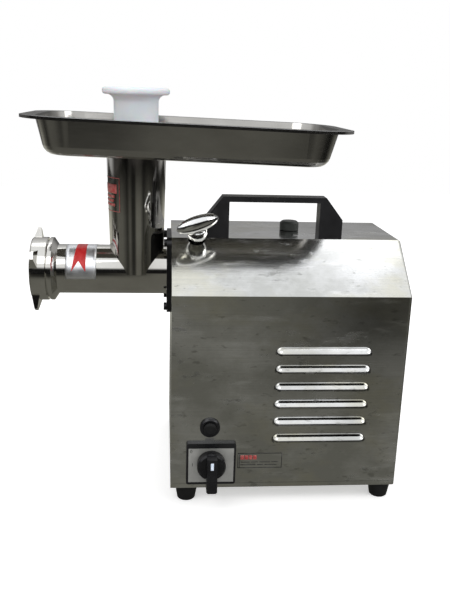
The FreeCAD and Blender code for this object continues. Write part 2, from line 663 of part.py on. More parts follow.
# ---- socket and lock screw -----------------------------------------------------------------------

def make_socket():
    plate = prism("socket_flange", "YZ_Plane",
                  [("axis_back %s socket_plate_wide / 2" % a, "axis_height %s socket_plate_high / 2" % b)
                   for a, b in ("--", "+-", "++", "-+")], "socket_plate", "-socket_plate")
    rounded(plate, "socket_flange_corners", "10", runs_along("x"))
    tube = cylinder("socket_tube", "socket_radius", "socket_length", "0", "axis_back", "axis_height",
                    ALONG_X)
    boss = lock_tool("socket_boss", "lock_boss", "tail_radius + 4", "lock_boss_end - tail_radius - 4")
    bore = cylinder("socket_hole", "socket_bore", "socket_length + 20", "-10", "axis_back", "axis_height",
                    ALONG_X)
    thread = lock_tool("socket_thread", "lock_screw + 0.08", "0", "lock_boss_end + 5")
    holes = [cylinder("socket_bolt_hole_%d" % index, "3.1", "10", "-8", y, z, ALONG_X)
             for index, (y, z) in enumerate(SOCKET_BOLTS)]
    node(cut("socket", fuse("socket_solid", plate, tube, boss), bore, thread, *holes), "head_socket")
    seats = [("-socket_plate", y, z) for y, z in SOCKET_BOLTS]
    node(screws("socket_bolt", seats, "5.2", "4", "3", "14", TOWARDS_LEFT), "socket_bolts")


def make_lock():
    node(lock_tool("shoe", "lock_screw - 0.1", "tail_radius + 0.15", "shoe_length"), "lock_shoe")
    node(lock_tool("stud", "lock_screw", "tail_radius + shoe_length + 0.25",
                   "lock_reach + wing_distance - 18 - tail_radius - shoe_length"), "lock_screw")
    y, z = across(-LOCK_LEAN, "lock_reach + 3")
    profile = [("0", "0"), ("4.5", "0"), ("6.5", "1"), ("11", "10"), ("12", "17"), ("10", "24"),
               ("0", "26")]
    boss = turned("wing_boss", profile, "0", "0", "0")
    bar = doc.addObject("Part::Ellipsoid", "wing_bar")
    bind(bar, Radius1="9", Radius2="wing_half", Radius3="7.5")
    bar.Placement = FreeCAD.Placement(FreeCAD.Vector(0, 0, 0),
                                      FreeCAD.Rotation(FreeCAD.Vector(0, 0, 1), value("wing_turn")))
    bar.setExpression("Placement.Base.z", linked("wing_distance - 3"))
    socket = cylinder("wing_socket", "lock_screw", "wing_distance - 20", "0", "0", "-0.01")
    knob = cut("wing", fuse("wing_solid", boss, bar), socket)
    node(place(knob, "lock_along", y, z, ((1, 0, 0), LOCK_LEAN)), "wing_knob")


# ---- bearings ------------------------------------------------------------------------------------

# start along x, height of its axis, size, and the shaft whose inner race it carries
BEARINGS = [
    ("94", "axis_height", "large", "output"), ("162", "axis_height", "small", "output"),
    ("111", MIDDLE_SHAFT, "small", "intermediate"), ("162", MIDDLE_SHAFT, "small", "intermediate"),
    ("168", MOTOR_SHAFT, "small", "rotor"), ("279", MOTOR_SHAFT, "small", "rotor"),
]
BALLS_PER_BEARING = 9


def make_bearings():
    outers = []
    inners = {"output": [], "intermediate": [], "rotor": []}
    balls = []
    for index, (x, z, size, shaft) in enumerate(BEARINGS):
        outer, inner, width = size + "_outer", size + "_inner", size + "_width"
        race = "0.28 * (%s - %s)" % (outer, inner)
        outers.append(ring("outer_race_%d" % index, outer, "%s - %s" % (outer, race), width, x, "axis_back",
                           z, ALONG_X))
        inners[shaft].append(ring("inner_race_%d" % index, "%s + %s" % (inner, race), inner, width, x,
                                  "axis_back", z, ALONG_X))
        middle = (value(outer) + value(inner)) / 2
        for turn in range(BALLS_PER_BEARING):
            angle = 2 * math.pi * turn / BALLS_PER_BEARING
            balls.append(ball("ball_%d_%d" % (index, turn), "0.22 * (%s - %s) - 0.06" % (outer, inner),
                              "%s + %s / 2" % (x, width), "axis_back + %.6f" % (middle * math.sin(angle)),
                              "%s + %.6f" % (z, middle * math.cos(angle))))
    node(group("bearing_outers", outers), "bearing_outer_races")
    node(group("bearing_ball_sets", balls), "bearing_balls")
    for shaft, races in inners.items():
        node(group(shaft + "_inner_races", races), shaft + "_bearing_races")


# ---- gearbox -------------------------------------------------------------------------------------

PRESSURE_ANGLE = math.radians(20)


def involute(angle):
    return math.tan(angle) - angle


def gear(label, module, teeth, width, bore, x, z, half_step):
    """A spur gear along x with involute flanks at 20 degrees; its first tooth, or gap, points down."""
    size, count = value(module), int(value(teeth))
    pitch = size * count / 2
    base = pitch * math.cos(PRESSURE_ANGLE)
    tip, root = pitch + size, pitch - 1.2 * size
    half = math.pi / (2 * count) - value("gear_backlash") / (2 * pitch) + involute(PRESSURE_ANGLE)
    radii = [max(base, root) + (tip - max(base, root)) * step / 4 for step in range(5)]
    rising = [(radius, half - involute(math.acos(base / radius))) for radius in radii]
    flank = ([(root, rising[0][1])] if root < base else []) + rising
    points = []
    for tooth in range(count):
        middle = 2 * math.pi * (tooth + (0.5 if half_step else 0)) / count
        for radius, angle in [(r, -a) for r, a in flank] + flank[::-1]:
            points.append(FreeCAD.Vector(radius * math.cos(middle + angle),
                                         radius * math.sin(middle + angle), 0))
    blank = Part.Face(Part.makePolygon(points + points[:1])).extrude(FreeCAD.Vector(0, 0, value(width)))
    piece = doc.addObject("Part::Feature", label + "_wheel")
    piece.Shape = blank.cut(Part.makeCylinder(value(bore), value(width)))
    return place(piece, x, "axis_back", z, ALONG_X)


def make_gears():
    wheel = gear("output_gear", "second_module", "wheel_teeth", "20", "18", "124", "axis_height", False)
    key = block("key_block", "20", "5", "4.5", "124", "axis_back - 2.5", "axis_height + 15.5")
    key_slot = block("key_slot", "24", "5", "6", "122", "axis_back - 2.5", "axis_height + 15.5")
    node(cut("output_gear_keyed", wheel, key_slot), "output_gear")
    node(key, "output_key")
    node(gear("intermediate_gear", "first_module", "middle_wheel_teeth", "12", "10", "148", MIDDLE_SHAFT,
              False),
         "intermediate_gear")
    shaft = turned("output_bar", [("0", "64.5"), ("17.5", "64.5"), ("17.5", "113"), ("20", "113"),
                                  ("20", "121"),
                                  ("18", "121"), ("18", "146"), ("12", "146"), ("12", "161"),
                                  ("8.5", "161"),
                                  ("8.5", "172"), ("0", "172")], "0", "axis_back", "axis_height", ALONG_X)
    square = block("output_square", "24", "drive_square + 0.2", "drive_square + 0.2", "64",
                   "axis_back - drive_square / 2 - 0.1", "axis_height - drive_square / 2 - 0.1")
    slot = block("output_key_slot", "20", "5", "6", "124", "axis_back - 2.5", "axis_height + 15.5")
    node(cut("output_cut", shaft, square, slot), "output_shaft")
    pinion = gear("intermediate_pinion", "second_module", "small_teeth", "24", "10", "122", MIDDLE_SHAFT,
                  True)
    bar = turned("intermediate_bar", [("0", "111"), ("8.5", "111"), ("8.5", "121"), ("10", "121"),
                                      ("10", "161"),
                                      ("8.5", "161"), ("8.5", "172"), ("0", "172")], "0", "axis_back",
                 MIDDLE_SHAFT, ALONG_X)
    node(fuse("intermediate_toothed", bar, pinion), "intermediate_shaft")


def case_outline(name, radius, start, length):
    """A bar with a round top about the output shaft and a round bottom below the motor shaft."""
    return fuse(name, cylinder(name + "_top", radius, length, start, "axis_back", "axis_height", ALONG_X),
                cylinder(name + "_bottom", radius, length, start, "axis_back", "case_low", ALONG_X),
                block(name + "_middle", length, "2 * (%s)" % radius, "axis_height - case_low", start,
                      "axis_back - (%s)" % radius, "case_low"))


COVER_SCREWS = [across(angle, "case_radius - case_wall / 2") for angle in (-90, -45, 45, 90)]
MOTOR_BOLTS = [("axis_back %s 46.7" % a, MOTOR_SHAFT + " %s 46.7" % b) for a in "-+" for b in "-+"]


def make_gearbox():
    end = "case_start + case_length"
    shell = cut("case_shell", case_outline("case_outside", "case_radius", "case_start", "case_length"),
                case_outline("case_cavity", "case_radius - case_wall", "case_start + case_wall",
                             "case_length"))
    nose = cylinder("case_nose_bar", "case_nose_radius", "case_start - case_nose", "case_nose", "axis_back",
                    "axis_height", ALONG_X)
    seat = cylinder("case_seat", "22", "8", "case_start + case_wall", "axis_back", MIDDLE_SHAFT, ALONG_X)
    holes = [
        cylinder("case_nose_bore", "large_outer", "108 - 70", "70", "axis_back", "axis_height", ALONG_X),
        cylinder("case_shaft_hole", "22", "20", "100", "axis_back", "axis_height", ALONG_X),
        cylinder("case_seat_bore", "small_outer", "20", "111", "axis_back", MIDDLE_SHAFT, ALONG_X),
        cylinder("case_filler_hole", "filler_radius", "20", "filler_along", "axis_back",
                 "axis_height + 40"),
    ]
    for index, (y, z) in enumerate(COVER_SCREWS):
        holes.append(cylinder("case_screw_%d" % index, "1.5", "10", end + " - 8", y, z, ALONG_X))
    node(cut("case", fuse("case_solid", shell, nose, seat), *holes), "gearbox_case")

    plate = fuse("cover_plate", case_outline("cover_outline", "case_radius", end, "cover_thick"),
                 cylinder("cover_round", "motor_flange", "cover_thick", end, "axis_back", MOTOR_SHAFT,
                          ALONG_X),
                 cylinder("cover_output_seat", "22", "10", end + " - 10", "axis_back", "axis_height",
                          ALONG_X),
                 cylinder("cover_middle_seat", "22", "10", end + " - 10", "axis_back", MIDDLE_SHAFT,
                          ALONG_X),
                 cylinder("cover_motor_seat", "22", "6", end + " - 6", "axis_back", MOTOR_SHAFT, ALONG_X))
    holes = [
        cylinder("cover_output_bore", "small_outer", "20", end + " - 20", "axis_back", "axis_height",
                 ALONG_X),
        cylinder("cover_middle_bore", "small_outer", "20", end + " - 20", "axis_back", MIDDLE_SHAFT,
                 ALONG_X),
        cylinder("cover_motor_bore", "small_outer", "20", end + " - 10", "axis_back", MOTOR_SHAFT, ALONG_X),
    ]
    for index, (y, z) in enumerate(COVER_SCREWS):
        holes.append(cylinder("cover_screw_%d" % index, "1.6", "20", end + " - 5", y, z, ALONG_X))
    for index, (y, z) in enumerate(MOTOR_BOLTS):
        holes.append(cylinder("cover_bolt_%d" % index, "2.5", "20", end + " - 5", y, z, ALONG_X))
    node(cut("cover", plate, *holes), "gearbox_cover")
    seats = [(end + " + cover_thick", y, z) for y, z in COVER_SCREWS]
    node(screws("cover_fixing", seats, "3", "2.5", "1.5", "12", ALONG_X), "cover_screws")
    node(ring("seal", "large_outer", "large_inner + 0.06", "6", "86", "axis_back", "axis_height", ALONG_X),
         "oil_seal")
    neck = ring("filler_pipe", "filler_radius", "filler_bore", HOUSING_TOP + " - axis_height - 46",
                "filler_along",
                "axis_back", "axis_height + 46")
    node(neck, "filler_neck")
    stand = cut("stand_channel", block("stand_outside", "56", "90", "case_low - base_sheet - 20",
                                       "case_start + 4",
                                       "axis_back - 45", "base_sheet"),
                block("stand_inside", "60", "82", "case_low", "case_start + 2", "axis_back - 41",
                      "base_sheet + 4"))
    node(cut("stand", stand, case_outline("stand_saddle", "case_radius", "case_start", "case_length")),
         "gearbox_stand")


def make_oil_cap():
    top = HOUSING_TOP + " + piece_gap"
    profile = [("0", "-11"), ("filler_bore - 1", "-11"), ("filler_bore - 0.1", "-10"),
               ("filler_bore - 0.1", "0"),
               ("cap_radius - 0.5", "0"), ("cap_radius", "0.5"), ("cap_radius", "cap_height - 2.5"),
               ("cap_radius - 2.5", "cap_height"), ("0", "cap_height")]
    node(turned("cap_turned", profile, "filler_along", "axis_back", top), "oil_filler_cap")


# ---- motor ---------------------------------------------------------------------------------------

def make_motor():
    end = "motor_start + motor_length"
    frame = turned("frame_turned", [("motor_radius - motor_wall", "motor_start"),
                                    ("motor_flange", "motor_start"),
                                    ("motor_flange", "motor_start + 4"),
                                    ("motor_radius", "motor_start + 4"),
                                    ("motor_radius", end), ("motor_radius - motor_wall", end)],
                   "0", "axis_back", MOTOR_SHAFT, ALONG_X)
    bolts = [cylinder("frame_bolt_%d" % index, "2.5", "10", "motor_start - 2", y, z, ALONG_X)
             for index, (y, z) in enumerate(MOTOR_BOLTS)]
    node(cut("frame", frame, *bolts), "motor_frame")
    seats = [("motor_start + 4", y, z) for y, z in MOTOR_BOLTS]
    node(screws("motor_bolt", seats, "4", "3", "2.5", "9.5", ALONG_X), "motor_bolts")

    stack = ring("stack", "motor_radius - motor_wall", "rotor_radius + air_gap", "core_length",
                 "core_start", "axis_back",
                 MOTOR_SHAFT, ALONG_X)
    slots = []
    for index in range(24):
        angle = 2 * math.pi * index / 24
        slots.append(cylinder("slot_%d" % index, "3", "core_length", "core_start",
                              "axis_back + %.6f" % (42 * math.sin(angle)),
                              MOTOR_SHAFT + " + %.6f" % (42 * math.cos(angle)), ALONG_X))
    node(cut("stator", stack, *slots), "stator_core")
    coils = []
    for name, start, stop in (("front_coil", "core_start - 12", "core_start"),
                              ("rear_coil", "core_start + core_length", "core_start + core_length + 10")):
        coils.append(turned(name, [("37", start), ("50", start), ("53", start + " + 3"),
                                   ("53", stop + " - 3"), ("50", stop),
                                   ("37", stop), ("35", stop + " - 3"), ("35", start + " + 3")],
                            "0", "axis_back", MOTOR_SHAFT, ALONG_X))
    node(group("coils", coils), "stator_windings")
    shield = turned("shield_turned", [("small_outer", "279"), ("22", "279"), ("22", end),
                                      ("motor_radius", end),
                                      ("motor_radius", end + " + 4"), ("22", end + " + 4"),
                                      ("20", end + " + 7"),
                                      ("9.5", end + " + 7"), ("9.5", "289"), ("small_outer", "289")],
                    "0", "axis_back", MOTOR_SHAFT, ALONG_X)
    node(shield, "motor_end_shield")

    bar = turned("rotor_bar", [("0", "147"), ("6", "147"), ("6", "161"), ("8.5", "161"), ("8.5", "180"),
                               ("11", "180"),
                               ("11", "267"), ("8.5", "267"), ("8.5", "289"), ("0", "289")],
                 "0", "axis_back", MOTOR_SHAFT, ALONG_X)
    pinion = gear("motor_pinion", "first_module", "small_teeth", "14", "6", "147", MOTOR_SHAFT, True)
    node(fuse("rotor_toothed", bar, pinion), "rotor_shaft")
    node(ring("rotor_stack", "rotor_radius", "11", "core_length + 10", "core_start - 5", "axis_back",
              MOTOR_SHAFT, ALONG_X),
         "rotor_core")
    hub = ring("fan_hub", "15", "8.5", "9", "268", "axis_back", MOTOR_SHAFT, ALONG_X)
    disc = ring("fan_disc", "50", "14", "1.5", "268", "axis_back", MOTOR_SHAFT, ALONG_X)
    blades = []
    for index in range(9):
        blade = block("blade_%d" % index, "8", "35", "1.5")
        blade.Placement = FreeCAD.Placement()
        angle = 360 * index / 9
        radians = math.radians(angle)
        place(blade, "269", "axis_back + %.6f" % (14 * math.cos(radians)),
              MOTOR_SHAFT + " + %.6f" % (14 * math.sin(radians)),
              ((1, 0, 0), angle))
        blades.append(blade)
    node(fuse("fan", hub, disc, *blades), "cooling_fan")


# ---- electrical pieces ---------------------------------------------------------------------------

def make_switch():
    x, z = "switch_middle", "switch_height"
    front = "-bezel_thick - face_thick"
    body = block("switch_block", "46", "56", "46", x + " - 23", "1.7", z + " - 23")
    neck = cylinder("switch_neck", "20", "4", x, "-2", z, ALONG_Y)
    bore = cylinder("switch_bore", "4.08", "30", x, "-4", z + " + knob_up", ALONG_Y)
    node(cut("switch_solid", fuse("switch_shape", body, neck), bore), "switch_body")
    plate = prism("bezel_sheet", "XZ_Plane", [(x + " %s bezel_wide / 2" % a, z + " %s bezel_high / 2" % b)
                                              for a, b in ("--", "+-", "++", "-+")], "bezel_thick")
    rounded(plate, "bezel_corners", "3", runs_along("y"))
    node(cut("bezel", plate, cylinder("bezel_hole", "20.2", "20", x, "-10", z, ALONG_Y)), "switch_bezel")
    sheet = block("face_sheet", "face_wide", "face_thick", "face_high", x + " - face_wide / 2", front,
                  z + " - face_high / 2 - 1.5")
    node(cut("face", sheet, cylinder("face_hole", "5", "20", x, "-15", z + " + knob_up", ALONG_Y)),
         "switch_face")
    start = "-bezel_thick - face_thick - piece_gap"
    disc = turned("knob_disc", [("0", "0"), ("knob_radius", "0"), ("knob_radius", "knob_thick - 3"),
                                ("knob_radius - 2", "knob_thick"), ("0", "knob_thick")], x, start,
                  z + " + knob_up", TOWARDS_FRONT)
    lever = prism("knob_lever", "XZ_Plane", [("-lever_wide / 2", "-lever_reach + 2"),
                                             ("-lever_wide / 2 + 2", "-lever_reach"),
                                             ("lever_wide / 2 - 2", "-lever_reach"),
                                             ("lever_wide / 2", "-lever_reach + 2"),
                                             ("lever_wide / 2 - 0.7", "knob_radius - 1"),
                                             ("-lever_wide / 2 + 0.7", "knob_radius - 1")],
                  "knob_reach + (%s) - 8" % start)
    place(lever, x, start + " - 8", z + " + knob_up")
    spindle = cylinder("knob_spindle", "4", "14", x, start + " - 1", z + " + knob_up", ALONG_Y)
    node(fuse("knob", disc, lever, spindle), "switch_knob")


def make_breaker():
    x, z = "breaker_middle", "breaker_height"
    body = block("breaker_block", "22", "30", "30", x + " - 11", "1.7", z + " - 15")
    neck = cylinder("breaker_neck", "8.5", "3", x, "-1", z, ALONG_Y)
    well = cylinder("breaker_well", "5.1", "15.5", x, "-4", z, ALONG_Y)
    node(cut("breaker", fuse("breaker_shape", body, neck), well), "circuit_breaker")
    collar = turned("breaker_nut", [("5.1", "1"), ("8.6", "1"), ("8.6", "0"), ("breaker_collar", "0"),
                                    ("breaker_collar", "2.5"),
                                    ("breaker_collar - 2", "4"), ("button_radius + 0.3", "4"),
                                    ("button_radius + 0.3", "1.4"),
                                    ("5.1", "1.4")],
                    x, "0", z, TOWARDS_FRONT)
    node(collar, "breaker_collar")
    node(turned("button_turned", [("0", "-7"), ("5", "-7"), ("5", "4.8"), ("button_radius", "4.8"),
                                  ("button_radius", "7"),
                                  ("button_radius - 2.5", "8.6"), ("0", "9")], x, "0", z, TOWARDS_FRONT),
         "reset_button")


def make_electrics():
    back = HOUSING_DEPTH
    gland = turned("gland_turned", [("cord_bore", "-9"), ("8", "-9"), ("8", "0"), ("gland_radius", "0"),
                                    ("gland_radius", "8"),
                                    ("gland_radius - 1", "9"), ("gland_radius - 1", "gland_reach - 5"),
                                    ("gland_radius - 3.5", "gland_reach"), ("cord_bore", "gland_reach")],
                   "gland_along", back, "gland_height", ALONG_Y)
    node(gland, "cable_gland")
    node(ring("nut_ring", "12", "8", "5", "gland_along", back + " - housing_sheet - 5", "gland_height",
              ALONG_Y), "gland_nut")
    along = "case_start + case_length + 20"
    can = turned("can_turned", [("0", "0"), ("capacitor_radius - 2", "0"), ("capacitor_radius", "2"),
                                ("capacitor_radius", "capacitor_length - 2"),
                                ("capacitor_radius - 2", "capacitor_length"), ("0", "capacitor_length")],
                 along, "34", "base_sheet + capacitor_radius + 4", ALONG_X)
    node(can, "run_capacitor")
    clip = fuse("clip_shape", ring("clip_band", "capacitor_radius + 2", "capacitor_radius", "12",
                                   along + " + 30", "34",
                                   "base_sheet + capacitor_radius + 4", ALONG_X),
                block("clip_foot", "12", "56", "2", along + " + 30", "6", "base_sheet"))
    node(clip, "capacitor_clip")
    blocks = [block("terminal_base", "60", "24", "8", "40", "200", "base_sheet")]
    for index in range(5):
        blocks.append(block("terminal_%d" % index, "9", "18", "12", "42.5 + %d" % (11 * index), "203",
                            "base_sheet + 7"))
    node(fuse("terminals", *blocks), "terminal_block")


make_housing()
make_base()
make_feet()
make_panels()
make_handle()
make_head()
make_ring_nut()
make_plate()
make_worm()
make_knife()
make_tray()
make_pusher()
make_socket()
make_lock()
make_bearings()
make_gears()
make_gearbox()
make_oil_cap()
make_motor()
make_switch()
make_breaker()
make_electrics()
doc.recompute()

faults = [item.Label for item in doc.Objects if {"Invalid", "Error"} & set(item.State)]
faults += [item.Label for item in nodes if item.Shape.isNull() or not item.Shape.isValid()
           or not item.Shape.Solids]
if faults:
    raise RuntimeError("these objects failed: " + ", ".join(faults))
os.makedirs("parts", exist_ok=True)
for item in nodes:
    item.Shape.exportStep("parts/%s.step" % item.Label)
print("%d nodes" % len(nodes))
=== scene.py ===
import json
import math

import bpy
from mathutils import Matrix, Vector


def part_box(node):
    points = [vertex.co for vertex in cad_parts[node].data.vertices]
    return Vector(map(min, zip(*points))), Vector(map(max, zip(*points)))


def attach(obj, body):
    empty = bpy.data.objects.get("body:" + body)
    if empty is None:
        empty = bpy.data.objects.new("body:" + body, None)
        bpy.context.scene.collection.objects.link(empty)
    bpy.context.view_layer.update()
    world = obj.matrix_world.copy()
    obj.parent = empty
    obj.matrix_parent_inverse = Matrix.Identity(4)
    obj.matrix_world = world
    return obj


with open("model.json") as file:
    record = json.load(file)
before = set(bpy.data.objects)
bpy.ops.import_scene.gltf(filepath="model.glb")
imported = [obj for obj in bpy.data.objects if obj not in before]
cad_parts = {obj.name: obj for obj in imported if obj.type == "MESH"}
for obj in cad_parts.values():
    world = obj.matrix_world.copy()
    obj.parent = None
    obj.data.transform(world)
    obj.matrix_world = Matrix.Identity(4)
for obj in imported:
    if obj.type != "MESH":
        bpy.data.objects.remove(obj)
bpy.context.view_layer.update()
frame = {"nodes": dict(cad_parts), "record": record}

MM = 0.001


def middle(name):
    low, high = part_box(name)
    return (Vector(low) + Vector(high)) / 2


# ---- places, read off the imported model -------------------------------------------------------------

HEAD_AXIS = middle("output_gear")
NECK_X = middle("feed_neck").x
HOUSING_CORNER = Vector(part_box("base_plate")[0])
HOUSING_FRONT = HOUSING_CORNER.y
SLOPE_FOOT = HOUSING_CORNER.z + 263 * MM
BARREL_RADIUS = 33.5 * MM
NECK_LOW, NECK_HIGH, NECK_LENGTH = 36 * MM, 39.4 * MM, 156 * MM
TRAY_TILT = 1.5
TRAY_HALF_LENGTH, TRAY_HALF_WIDTH, TRAY_CORNER = 208.8 * MM, 115.7 * MM, 64 * MM
KNOB_HEIGHT = 38.3 * MM
THIN, THINNEST = 0.12 * MM, 0.02 * MM
FILM_LIFT = 0.35 * MM


# ---- camera and studio ---------------------------------------------------------------------------

CAMERA_AT = Vector((-0.06825, -0.9965, 0.532))
CAMERA_YAW, CAMERA_PITCH, CAMERA_ROLL = 4.966, 16.019, 1.658
CAMERA_LENS = 44.14


def make_camera():
    yaw, pitch, roll = (math.radians(a) for a in (CAMERA_YAW, CAMERA_PITCH, CAMERA_ROLL))
    forward = Vector((math.sin(yaw) * math.cos(pitch), math.cos(yaw) * math.cos(pitch), -math.sin(pitch)))
    level = Vector((math.cos(yaw), -math.sin(yaw), 0))
    upright = level.cross(forward)
    right = level * math.cos(roll) + upright * math.sin(roll)
    up = upright * math.cos(roll) - level * math.sin(roll)
    data = bpy.data.cameras.new("camera")
    data.lens = CAMERA_LENS
    data.sensor_width = 36
    data.clip_start = 0.02
    camera = bpy.data.objects.new("camera", data)
    turn = Matrix((right, up, -forward)).transposed().to_4x4()
    camera.matrix_world = Matrix.Translation(CAMERA_AT) @ turn
    bpy.context.collection.objects.link(camera)
    bpy.context.scene.camera = camera


def nodes_of(tree):
    tree.nodes.clear()
    return lambda kind: tree.nodes.new(kind)


def ramp(new, stops):
    node = new("ShaderNodeValToRGB")
    points = node.color_ramp.elements
    while len(points) < len(stops):
        points.new(0.5)
    for point, (place, colour) in zip(points, stops):
        point.position = place
        point.color = (*colour, 1) if len(colour) == 3 else colour
    return node


def grey(level, warm=0.0):
    return (level * (1 + warm), level, level * (1 - warm))


def olive(level):
    return (level * 1.01, level, level * 0.87)


def spread(new, link, source, low, high, to_low=0.0, to_high=1.0, soft=False):
    """Maps a source that runs from low to high onto another range, with soft ends if asked."""
    node = new("ShaderNodeMapRange")
    if soft:
        node.interpolation_type = "SMOOTHSTEP"
    for socket, number in (("From Min", low), ("From Max", high), ("To Min", to_low), ("To Max", to_high)):
        node.inputs[socket].default_value = number
    link(source, node.inputs["Value"])
    return node.outputs[0]


def make_world():
    """A white backdrop for the camera, and a studio with a bright top and a black horizon for reflections."""
    world = bpy.data.worlds.new("studio")
    bpy.context.scene.world = world
    world.use_nodes = True
    tree = world.node_tree
    new = nodes_of(tree)
    link = tree.links.new
    where = new("ShaderNodeTexCoord")
    split = new("ShaderNodeSeparateXYZ")
    link(where.outputs["Generated"], split.inputs[0])
    height = spread(new, link, split.outputs["Z"], -1, 1)
    front = ramp(new, [(0.0, grey(0.16, 0.06)), (0.42, grey(0.10, 0.06)), (0.45, grey(0.010)),
                       (0.58, grey(0.010)), (0.61, grey(0.25)), (0.66, grey(1.15, -0.01)),
                       (1.0, grey(1.22, -0.02))])
    behind = ramp(new, [(0.0, grey(0.6)), (0.44, grey(0.5)), (0.48, grey(0.10)), (0.54, grey(0.14)),
                        (0.62, grey(0.48)), (0.75, grey(0.6)), (1.0, grey(1.22, -0.02))])
    for sky in (front, behind):
        link(height, sky.inputs[0])
    sides = new("ShaderNodeMix")
    sides.data_type = "RGBA"
    link(spread(new, link, split.outputs["Y"], 0.0, 0.45, soft=True), sides.inputs["Factor"])
    link(front.outputs["Color"], sides.inputs[6])
    link(behind.outputs["Color"], sides.inputs[7])
    studio = new("ShaderNodeBackground")
    link(sides.outputs[2], studio.inputs["Color"])
    soft = new("ShaderNodeBackground")
    soft.inputs["Color"].default_value = (1, 1, 1, 1)
    soft.inputs["Strength"].default_value = 0.7
    backdrop = new("ShaderNodeBackground")
    backdrop.inputs["Color"].default_value = (1, 1, 1, 1)
    path = new("ShaderNodeLightPath")
    by_gloss = new("ShaderNodeMixShader")
    link(path.outputs["Is Glossy Ray"], by_gloss.inputs[0])
    link(soft.outputs[0], by_gloss.inputs[1])
    link(studio.outputs[0], by_gloss.inputs[2])
    by_camera = new("ShaderNodeMixShader")
    link(path.outputs["Is Camera Ray"], by_camera.inputs[0])
    link(by_gloss.outputs[0], by_camera.inputs[1])
    link(backdrop.outputs[0], by_camera.inputs[2])
    out = new("ShaderNodeOutputWorld")
    link(by_camera.outputs[0], out.inputs["Surface"])


# What the bench shows in the steel, going round from behind on the left, past the front, to behind on
# the right: the bright backdrop, then dark and dull stretches of the room.
BENCH_BANDS = [
    (0.00, 0.60), (0.14, 0.55), (0.19, 0.16), (0.24, 0.03), (0.28, 0.15), (0.34, 0.13), (0.40, 0.03),
    (0.43, 0.11), (0.46, 0.02), (0.485, 0.03), (0.505, 0.17), (0.545, 0.16), (0.58, 0.03), (0.63, 0.12),
    (0.68, 0.08), (0.74, 0.01), (0.78, 0.02), (0.84, 0.20), (0.90, 0.60), (1.00, 0.60)]
BENCH_SIZE = 3.0
BENCH_BLEND = (0.35, 1.15)
BENCH_FADE = 1.8


def bench_glow(new, link):
    """The bench in the steel's reflections: even near the object, in bands further off, dark far away."""
    where = new("ShaderNodeTexCoord")
    from_neck = new("ShaderNodeMapping")
    from_neck.inputs["Location"].default_value = (-NECK_X, -HEAD_AXIS.y, 0)
    link(where.outputs["Object"], from_neck.inputs["Vector"])
    split = new("ShaderNodeSeparateXYZ")
    link(from_neck.outputs[0], split.inputs[0])
    forward = new("ShaderNodeMath")
    forward.operation = "MULTIPLY"
    forward.inputs[1].default_value = -1
    link(split.outputs["Y"], forward.inputs[0])
    bearing = new("ShaderNodeMath")
    bearing.operation = "ARCTAN2"
    link(split.outputs["X"], bearing.inputs[0])
    link(forward.outputs[0], bearing.inputs[1])
    round_about = spread(new, link, bearing.outputs[0], -math.pi, math.pi)
    bands = ramp(new, [(place, olive(level)) for place, level in BENCH_BANDS])
    link(round_about, bands.inputs[0])
    length = new("ShaderNodeVectorMath")
    length.operation = "LENGTH"
    link(from_neck.outputs[0], length.inputs[0])
    even = new("ShaderNodeMix")
    even.data_type = "RGBA"
    even.inputs[6].default_value = (*olive(0.165), 1)
    link(spread(new, link, length.outputs["Value"], *BENCH_BLEND, soft=True), even.inputs["Factor"])
    link(bands.outputs["Color"], even.inputs[7])
    far = spread(new, link, length.outputs["Value"], BENCH_FADE, BENCH_SIZE, 1.0, 0.05)
    bench = new("ShaderNodeEmission")
    link(even.outputs[2], bench.inputs["Color"])
    link(far, bench.inputs["Strength"])
    return bench


def make_floor():
    """A pale floor that shows a faint shadow, and reads as a dull bench in the steel's reflections."""
    size = BENCH_SIZE
    mesh = bpy.data.meshes.new("floor")
    mesh.from_pydata([(-size, -size, 0), (size, -size, 0), (size, size, 0), (-size, size, 0)], [],
                     [(0, 1, 2, 3)])
    floor = bpy.data.objects.new("floor", mesh)
    bpy.context.collection.objects.link(floor)
    material = bpy.data.materials.new("floor_pale")
    material.use_nodes = True
    tree = material.node_tree
    new = nodes_of(tree)
    link = tree.links.new
    pale = new("ShaderNodeBsdfDiffuse")
    pale.inputs["Color"].default_value = (0.92, 0.92, 0.92, 1)
    glow = new("ShaderNodeEmission")
    glow.inputs["Strength"].default_value = 0.45
    seen = new("ShaderNodeAddShader")
    link(pale.outputs[0], seen.inputs[0])
    link(glow.outputs[0], seen.inputs[1])
    bench = bench_glow(new, link)
    path = new("ShaderNodeLightPath")
    mix = new("ShaderNodeMixShader")
    link(path.outputs["Is Glossy Ray"], mix.inputs[0])
    link(seen.outputs[0], mix.inputs[1])
    link(bench.outputs[0], mix.inputs[2])
    out = new("ShaderNodeOutputMaterial")
    link(mix.outputs[0], out.inputs["Surface"])
    mesh.materials.append(material)


def softbox(name, at, aim, width, height, power):
    data = bpy.data.lights.new(name, "AREA")
    data.shape = "RECTANGLE"
    data.size, data.size_y = width, height
    data.energy = power
    lamp = bpy.data.objects.new(name, data)
    lamp.location = at
    lamp.rotation_euler = (Vector(aim) - Vector(at)).to_track_quat("-Z", "Y").to_euler()
    bpy.context.collection.objects.link(lamp)


def make_lights():
    softbox("key", (-0.9, -1.3, 1.7), (0, 0, 0.25), 1.2, 0.9, 9)
    softbox("fill", (1.4, -0.9, 1.1), (0, 0, 0.2), 0.8, 0.8, 7)
    softbox("top", (0.2, 0.5, 1.9), (0, 0, 0.3), 1.6, 1.0, 6)


# ---- materials -----------------------------------------------------------------------------------

